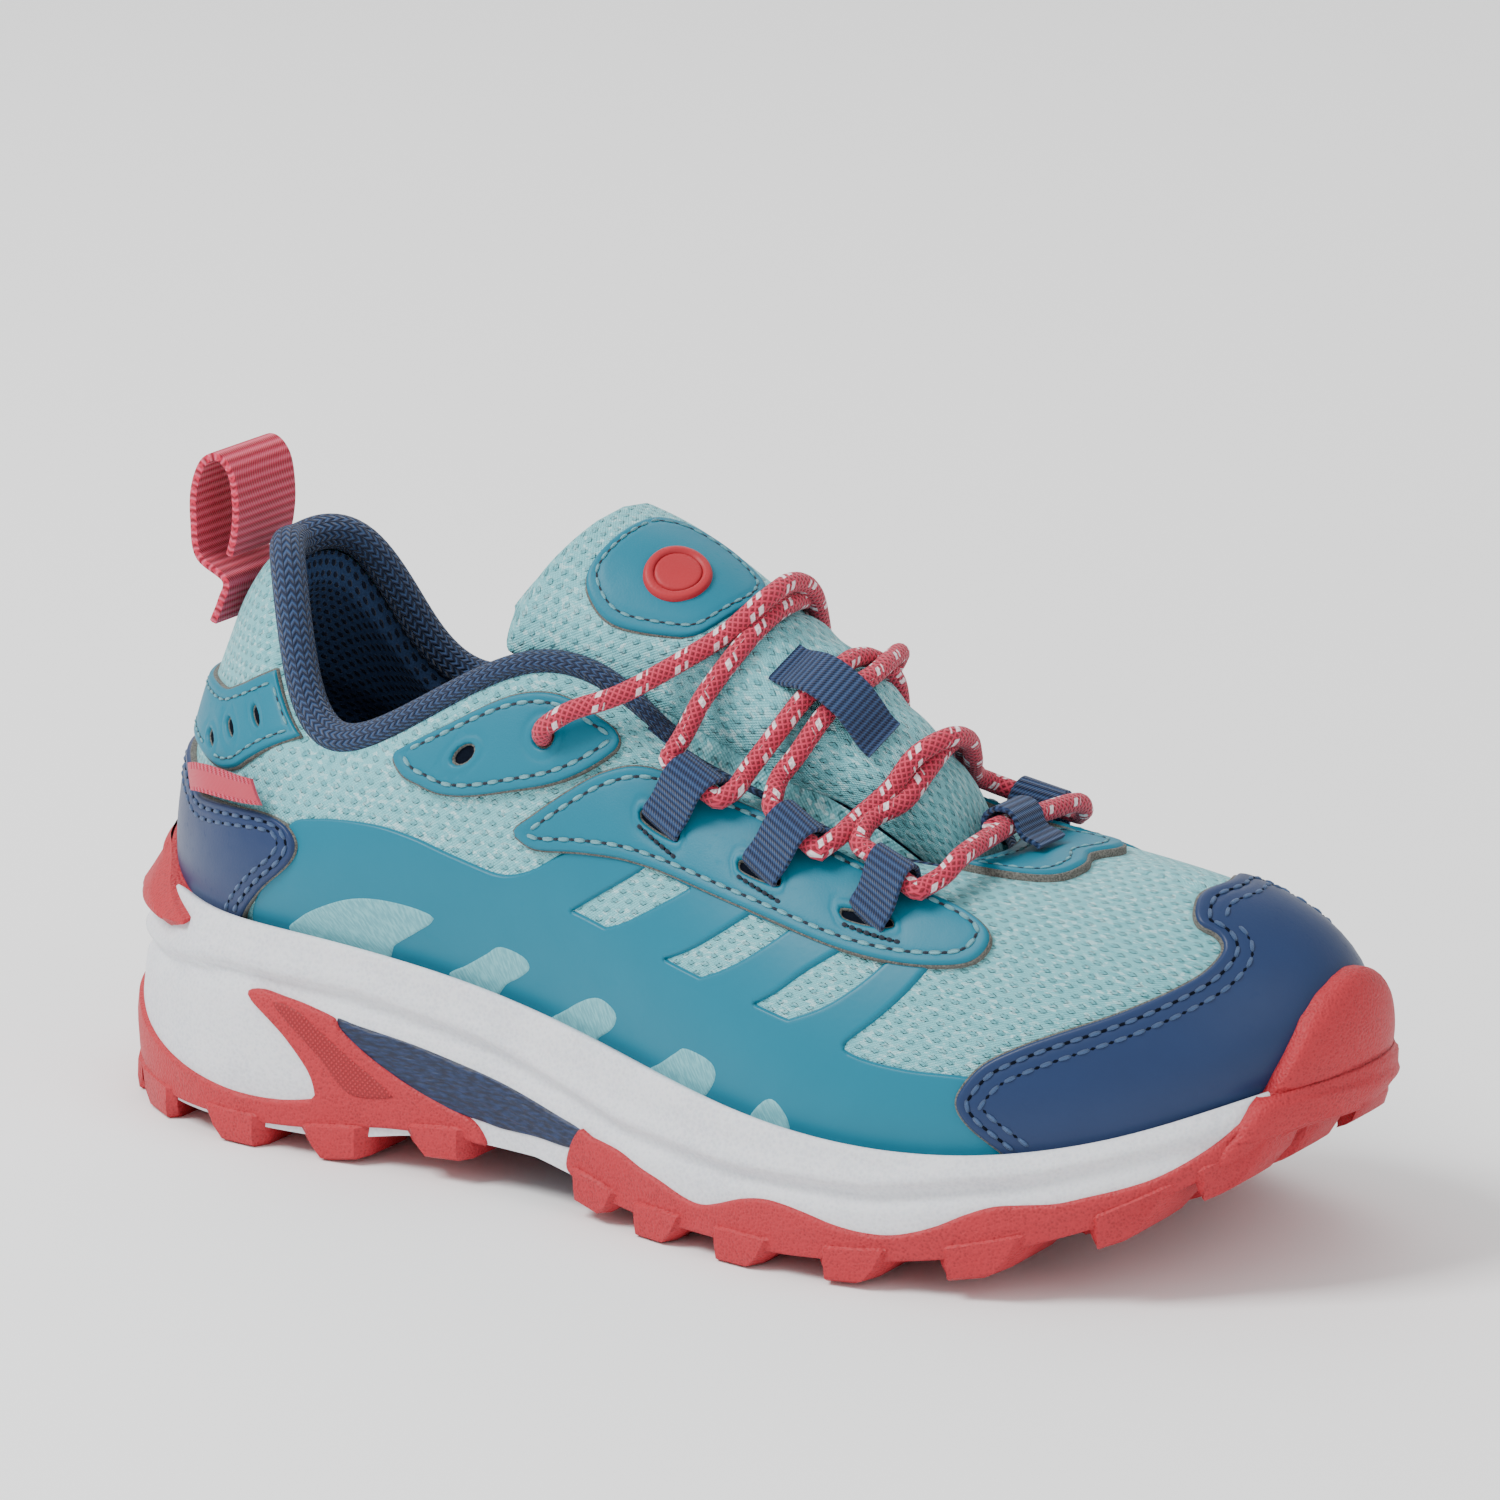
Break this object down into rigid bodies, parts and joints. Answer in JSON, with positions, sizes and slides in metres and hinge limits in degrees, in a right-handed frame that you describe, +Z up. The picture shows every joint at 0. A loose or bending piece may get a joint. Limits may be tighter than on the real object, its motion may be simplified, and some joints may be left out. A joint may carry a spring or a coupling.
{
  "type": "hiking shoe",
  "caption": "Low-cut child's hiking shoe, right foot: lugged sole, film-covered cloth upper, padded collar, hinged tongue, laced webbing loops and heel pull tab.",
  "frame": {"origin": "middle of the shoe's bounding box at the ground, where the lugs stand", "axes": "+X towards the toe, +Y towards the inner side of the foot, +Z up"},
  "size_m": [0.2424, 0.0974, 0.1151],
  "materials": {
    "foam_midsole": "off-white moulded foam, finely textured, matt",
    "coral_rubber": "coral red moulded rubber, matt",
    "navy_rubber": "dark blue moulded rubber, finely textured",
    "grey_board": "stiff fibre board, hidden",
    "grey_foam": "soft foam, hidden",
    "navy_knit": "dark blue knitted spacer cloth, soft and matt",
    "aqua_cloth": "light aqua ripstop cloth with paler flecks, matt",
    "teal_film": "smooth teal film bonded on the cloth, satin",
    "navy_overlay": "smooth dark blue synthetic leather, satin",
    "navy_webbing": "dark blue ribbed webbing, matt",
    "pink_lace": "round braided pink-red lace with paired pale flecks",
    "pink_webbing": "pink-red ribbed webbing, matt",
    "grey_plastic": "clear-grey plastic tip"
  },
  "bodies": {
    "shoe": {"midsole": "foam_midsole", "heel_outsole": "coral_rubber", "forefoot_outsole": "coral_rubber", "toe_bumper": "coral_rubber", "heel_clip": "coral_rubber", "arch_plate": "navy_rubber", "insole_board": "grey_board", "insole": "navy_knit", "upper_mesh": "aqua_cloth", "lining": "navy_knit", "collar_foam": "grey_foam", "heel_stiffener": "grey_board", "toe_puff": "grey_board", "collar_roll": "navy_knit", "film_lateral": "teal_film", "film_medial": "teal_film", "eyestay_lateral": "teal_film", "eyestay_medial": "teal_film", "ankle_overlay_lateral": "teal_film", "ankle_overlay_medial": "teal_film", "toe_cap": "navy_overlay", "heel_counter_overlay": "navy_overlay", "heel_band": "teal_film", "throat_overlay": "teal_film", "lace": "pink_lace", "lace_end_lateral": "pink_lace", "lace_end_medial": "pink_lace", "aglet_lateral": "grey_plastic", "aglet_medial": "grey_plastic", "lace_loop_lateral_1": "navy_webbing", "lace_loop_lateral_2": "navy_webbing", "lace_loop_lateral_3": "navy_webbing", "lace_loop_medial_1": "navy_webbing", "lace_loop_medial_2": "navy_webbing", "lace_loop_medial_3": "navy_webbing", "throat_loop": "navy_webbing"},
    "tongue": {"tongue_shell": "aqua_cloth", "tongue_lining": "navy_knit", "tongue_patch": "teal_film", "tongue_emblem": "coral_rubber", "tongue_keeper": "navy_webbing"},
    "pull_tab": {"pull_tab": "pink_webbing"},
    "label": {"label": "pink_webbing"}
  },
  "joints": [
    {"name": "tongue_hinge", "type": "hinge", "parent": "shoe", "child": "tongue", "pos_m": [0.0518, 0.00043, 0.06], "axis": [0, 1, 0], "range_deg": [0, 12], "stiffness_Nm_per_rad": 0.05, "deforming": ["lace"]},
    {"name": "pull_tab_flex", "type": "hinge", "parent": "shoe", "child": "pull_tab", "pos_m": [-0.1077, 0.00043, 0.084], "axis": [0, 1, 0], "range_deg": [-25, 0], "stiffness_Nm_per_rad": 0.02},
    {"name": "label_flap", "type": "hinge", "parent": "shoe", "child": "label", "pos_m": [-0.09971, -0.02245, 0.06011], "axis": [0.5014, -0.5775, -0.6443], "range_deg": [0, 60], "stiffness_Nm_per_rad": 0.002}
  ]
}
